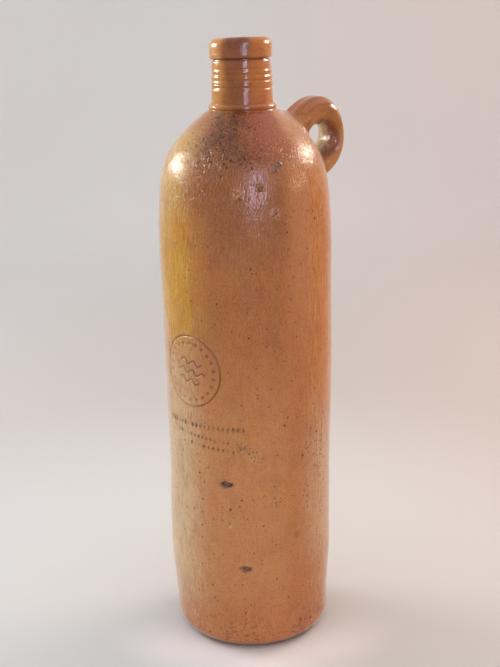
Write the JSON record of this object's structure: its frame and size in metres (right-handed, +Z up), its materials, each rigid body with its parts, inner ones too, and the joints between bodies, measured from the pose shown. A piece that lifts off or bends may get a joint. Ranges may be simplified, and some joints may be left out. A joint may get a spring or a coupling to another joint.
{
  "type": "stoneware bottle",
  "caption": "Tall salt-glazed stoneware bottle with rounded shoulder, ringed neck, rolled collar and a small finger loop on the shoulder.",
  "frame": {"origin": "centre of the flat base, on the axis of the bottle", "axes": "+Z up along the axis of the bottle and out of its mouth, +X towards the finger loop"},
  "size_m": [0.0978, 0.084, 0.3005],
  "materials": {
    "salt_glaze": "glossy salt glaze over warm brown stoneware, finely pitted and streaked"
  },
  "bodies": {
    "root": {"bottle": "salt_glaze"}
  },
  "joints": []
}
